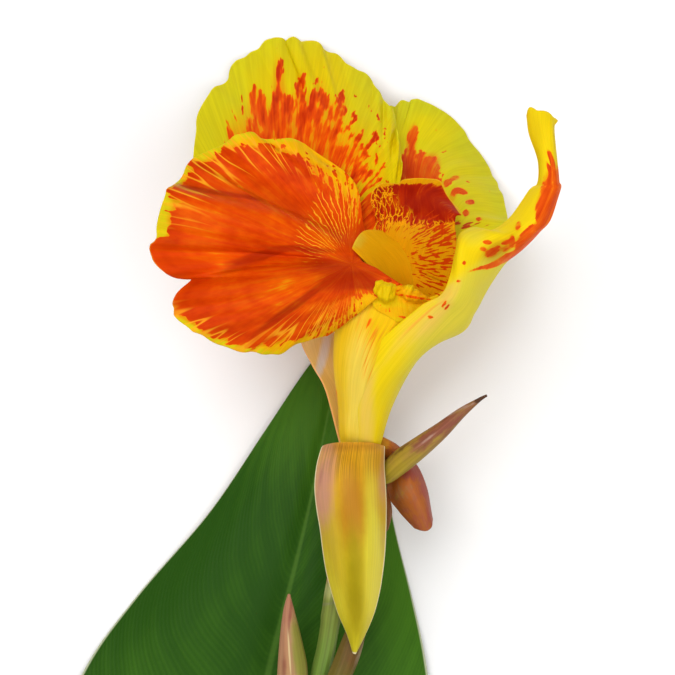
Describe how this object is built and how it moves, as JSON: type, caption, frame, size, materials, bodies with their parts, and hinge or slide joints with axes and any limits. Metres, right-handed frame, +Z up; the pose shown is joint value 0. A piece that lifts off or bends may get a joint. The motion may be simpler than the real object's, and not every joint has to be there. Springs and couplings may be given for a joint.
{
  "type": "canna flower stem",
  "caption": "Cut stem of a canna lily lying flat: ruffled yellow bloom blotched orange-red, hanging petals, side bud, bracts and one broad green leaf.",
  "frame": {"origin": "on the surface that the stem lies on, under the middle of the plant's box", "axes": "+Y from the cut end of the stem to the flower, +X towards the labellum's side, +Z up from the surface"},
  "size_m": [0.1408, 0.3448, 0.0676],
  "materials": {
    "ovary": "matte",
    "flower_tube": "satin",
    "staminode_back": "satin",
    "staminode_right_back": "satin",
    "staminode_left": "satin",
    "labellum": "satin",
    "petaloid_stamen": "satin",
    "style": "satin",
    "petal_front": "satin",
    "petal_right": "matte",
    "petal_left": "satin",
    "sepal_right": "matte",
    "sepal_left": "matte",
    "sepal_back": "matte",
    "bract_right": "matte",
    "stem": "satin",
    "side_bud": "satin",
    "bract_lower": "matte",
    "leaf": "satin"
  },
  "bodies": {
    "root": {"ovary": "ovary", "flower_tube": "flower_tube", "staminode_back": "staminode_back", "staminode_right_back": "staminode_right_back", "staminode_left": "staminode_left", "labellum": "labellum", "petaloid_stamen": "petaloid_stamen", "style": "style", "petal_front": "petal_front", "petal_right": "petal_right", "petal_left": "petal_left", "sepal_right": "sepal_right", "sepal_left": "sepal_left", "sepal_back": "sepal_back", "bract_right": "bract_right", "stem": "stem", "side_bud": "side_bud", "bract_lower": "bract_lower", "leaf": "leaf"}
  },
  "joints": []
}
